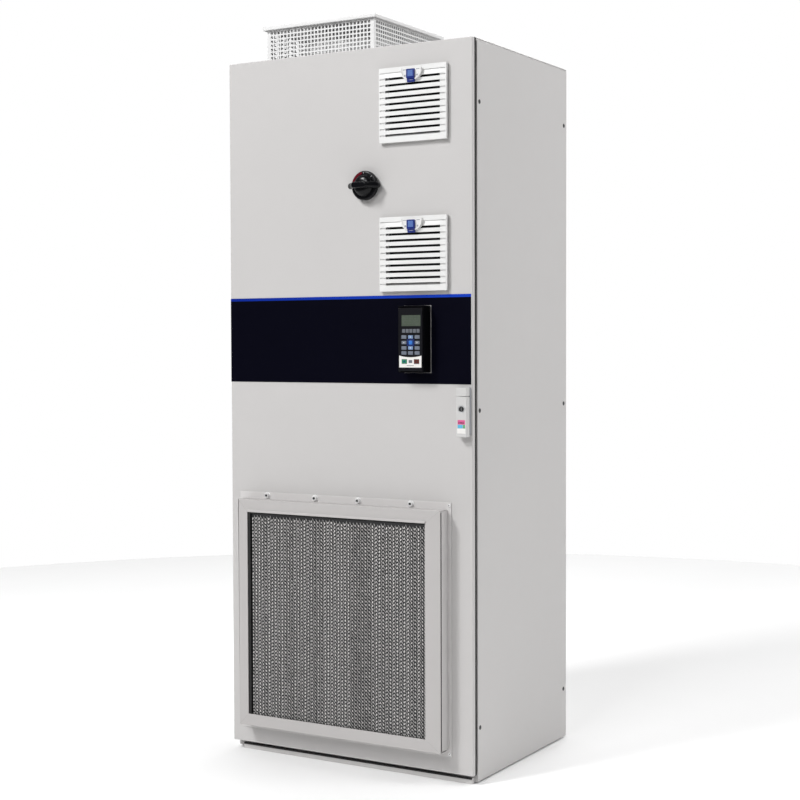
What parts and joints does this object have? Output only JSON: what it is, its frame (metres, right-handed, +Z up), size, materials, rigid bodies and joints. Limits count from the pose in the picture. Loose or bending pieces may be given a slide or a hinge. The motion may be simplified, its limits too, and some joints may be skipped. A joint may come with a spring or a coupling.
{
  "type": "variable frequency drive",
  "caption": "Floor-standing drive cabinet with a hinged door, filter fans, rotary isolator, keypad, air intake filter and roof exhaust hood.",
  "frame": {"origin": "on the floor, under the centre of the whole object's box", "axes": "+Z up, -Y out of the door, +X to the right as seen from the front"},
  "size_m": [0.796, 0.65, 2.12],
  "materials": {
    "grey_paint": "light warm grey powder coat, fine texture",
    "white_paint": "white powder coat",
    "zinc_steel": "zinc-plated steel",
    "fin_aluminium": "mill finish",
    "filter_aluminium": "knitted and pleated mesh",
    "core_steel": "varnished laminations",
    "coil_copper": "varnished copper winding",
    "black_plastic": "semi-gloss black",
    "grey_plastic": "matt grey",
    "white_plastic": "near-white, satin",
    "blue_plastic": "blue latch",
    "navy_film": "printed film, near-black blue with a blue top stripe",
    "seal_rubber": "foamed seal",
    "key_green": "green key",
    "key_red": "red key",
    "key_grey": "blue-grey key",
    "key_blue": "blue key",
    "lock_steel": "dark lock barrel"
  },
  "bodies": {
    "cabinet": {"base_frame": "grey_paint", "roof_frame": "grey_paint", "upright_front_left": "grey_paint", "upright_front_right": "grey_paint", "upright_rear_left": "grey_paint", "upright_rear_right": "grey_paint", "left_side_panel": "grey_paint", "right_side_panel": "grey_paint", "rear_panel": "grey_paint", "roof_panel": "grey_paint", "hood_cage": "white_paint", "hood_lid": "white_paint", "exhaust_fan_housing": "white_paint", "gland_plate": "zinc_steel", "mounting_plate": "zinc_steel", "drive_chassis": "zinc_steel", "hinge_bracket_lower": "zinc_steel", "hinge_bracket_upper": "zinc_steel", "heatsink": "fin_aluminium", "reactor_core": "core_steel", "reactor_coils": "coil_copper", "capacitor_bank": "black_plastic", "isolator_body": "black_plastic", "drive_cover": "grey_plastic", "terminal_block": "grey_plastic"},
    "door": {"door_panel": "grey_paint", "door_frame": "zinc_steel", "door_gasket": "seal_rubber", "hinge_leaf_lower": "zinc_steel", "hinge_leaf_upper": "zinc_steel", "name_band": "navy_film", "lock_base": "grey_plastic", "upper_fan_housing": "white_plastic", "lower_fan_housing": "white_plastic", "intake_housing": "grey_paint", "intake_bezel": "grey_paint", "keypad_cradle": "black_plastic"},
    "exhaust_fan": {"exhaust_fan_impeller": "black_plastic"},
    "isolator_shaft": {"isolator_shaft": "zinc_steel"},
    "isolator_handle": {"isolator_handle": "black_plastic"},
    "handle_spindle": {"handle_spindle": "grey_paint"},
    "handle_lever": {"handle_lever": "grey_paint"},
    "lock_cylinder": {"lock_cylinder": "lock_steel"},
    "lock_rod_upper": {"lock_rod_upper": "zinc_steel"},
    "lock_rod_lower": {"lock_rod_lower": "zinc_steel"},
    "upper_fan": {"upper_fan_impeller": "black_plastic"},
    "lower_fan": {"lower_fan_impeller": "black_plastic"},
    "upper_grille": {"upper_grille": "white_plastic"},
    "lower_grille": {"lower_grille": "white_plastic"},
    "upper_grille_clip": {"upper_grille_clip": "blue_plastic"},
    "lower_grille_clip": {"lower_grille_clip": "blue_plastic"},
    "intake_filter": {"intake_filter": "filter_aluminium"},
    "keypad": {"keypad_body": "black_plastic"},
    "start_key": {"start_key": "key_green"},
    "stop_key": {"stop_key": "key_red"},
    "enter_key": {"enter_key": "key_blue"},
    "up_key": {"up_key": "key_grey"},
    "down_key": {"down_key": "key_grey"},
    "left_key": {"left_key": "key_grey"},
    "right_key": {"right_key": "key_grey"}
  },
  "joints": [
    {"name": "door_swing", "type": "hinge", "parent": "cabinet", "child": "door", "pos_m": [-0.3953, -0.2516, 1], "axis": [0, 0, -1], "range_deg": [0, 115]},
    {"name": "exhaust_fan_spin", "type": "hinge", "parent": "cabinet", "child": "exhaust_fan", "pos_m": [-0.163, 0.036, 2.045], "axis": [0, 0, 1], "continuous": true},
    {"name": "isolator_handle_turn", "type": "hinge", "parent": "door", "child": "isolator_handle", "pos_m": [0.072, -0.311, 1.622], "axis": [0, 1, 0], "range_deg": [0, 90]},
    {"name": "isolator_shaft_turn", "type": "hinge", "parent": "cabinet", "child": "isolator_shaft", "pos_m": [0.072, -0.011, 1.622], "axis": [0, 1, 0], "range_deg": [0, 90]},
    {"name": "handle_turn", "type": "hinge", "parent": "door", "child": "handle_spindle", "pos_m": [0.377, -0.291, 1.058], "axis": [0, 1, 0], "range_deg": [0, 90]},
    {"name": "handle_lift", "type": "hinge", "parent": "handle_spindle", "child": "handle_lever", "pos_m": [0.377, -0.2995, 1.047], "axis": [-1, 0, 0], "range_deg": [0, 60]},
    {"name": "lock_cylinder_turn", "type": "hinge", "parent": "handle_lever", "child": "lock_cylinder", "pos_m": [0.377, -0.296, 1.014], "axis": [0, 1, 0], "range_deg": [0, 90]},
    {"name": "lock_rod_upper_slide", "type": "slide", "parent": "door", "child": "lock_rod_upper", "axis": [0, 0, -1], "range_m": [0, 0.02]},
    {"name": "lock_rod_lower_slide", "type": "slide", "parent": "door", "child": "lock_rod_lower", "axis": [0, 0, 1], "range_m": [0, 0.02]},
    {"name": "upper_fan_spin", "type": "hinge", "parent": "door", "child": "upper_fan", "pos_m": [0.222, -0.222, 1.835], "axis": [0, 1, 0], "continuous": true},
    {"name": "upper_grille_swing", "type": "hinge", "parent": "door", "child": "upper_grille", "pos_m": [0.222, -0.2784, 1.734], "axis": [1, 0, 0], "range_deg": [0, 85]},
    {"name": "upper_clip_press", "type": "slide", "parent": "upper_grille", "child": "upper_grille_clip", "axis": [0, 0, -1], "range_m": [0, 0.0018], "stiffness_N_per_m": 1500},
    {"name": "lower_fan_spin", "type": "hinge", "parent": "door", "child": "lower_fan", "pos_m": [0.222, -0.222, 1.4315], "axis": [0, 1, 0], "continuous": true},
    {"name": "lower_grille_swing", "type": "hinge", "parent": "door", "child": "lower_grille", "pos_m": [0.222, -0.2784, 1.3305], "axis": [1, 0, 0], "range_deg": [0, 85]},
    {"name": "lower_clip_press", "type": "slide", "parent": "lower_grille", "child": "lower_grille_clip", "axis": [0, 0, -1], "range_m": [0, 0.0018], "stiffness_N_per_m": 1500},
    {"name": "intake_filter_slide", "type": "slide", "parent": "door", "child": "intake_filter", "axis": [1, 0, 0], "range_m": [0, 0.55]},
    {"name": "keypad_slide", "type": "slide", "parent": "door", "child": "keypad", "axis": [0, -1, 0], "range_m": [0, 0.03]},
    {"name": "start_key_press", "type": "slide", "parent": "keypad", "child": "start_key", "axis": [0, 1, 0], "range_m": [0, 0.001], "stiffness_N_per_m": 800},
    {"name": "stop_key_press", "type": "slide", "parent": "keypad", "child": "stop_key", "axis": [0, 1, 0], "range_m": [0, 0.001], "stiffness_N_per_m": 800},
    {"name": "enter_key_press", "type": "slide", "parent": "keypad", "child": "enter_key", "axis": [0, 1, 0], "range_m": [0, 0.001], "stiffness_N_per_m": 800},
    {"name": "up_key_press", "type": "slide", "parent": "keypad", "child": "up_key", "axis": [0, 1, 0], "range_m": [0, 0.001], "stiffness_N_per_m": 800},
    {"name": "down_key_press", "type": "slide", "parent": "keypad", "child": "down_key", "axis": [0, 1, 0], "range_m": [0, 0.001], "stiffness_N_per_m": 800},
    {"name": "left_key_press", "type": "slide", "parent": "keypad", "child": "left_key", "axis": [0, 1, 0], "range_m": [0, 0.001], "stiffness_N_per_m": 800},
    {"name": "right_key_press", "type": "slide", "parent": "keypad", "child": "right_key", "axis": [0, 1, 0], "range_m": [0, 0.001], "stiffness_N_per_m": 800}
  ],
  "couplings": [
    {"joint": "isolator_shaft_turn", "follows": "isolator_handle_turn", "ratio": 1},
    {"joint": "lock_rod_upper_slide", "follows": "handle_turn", "m_per_rad": 0.0127},
    {"joint": "lock_rod_lower_slide", "follows": "handle_turn", "m_per_rad": 0.0127}
  ]
}
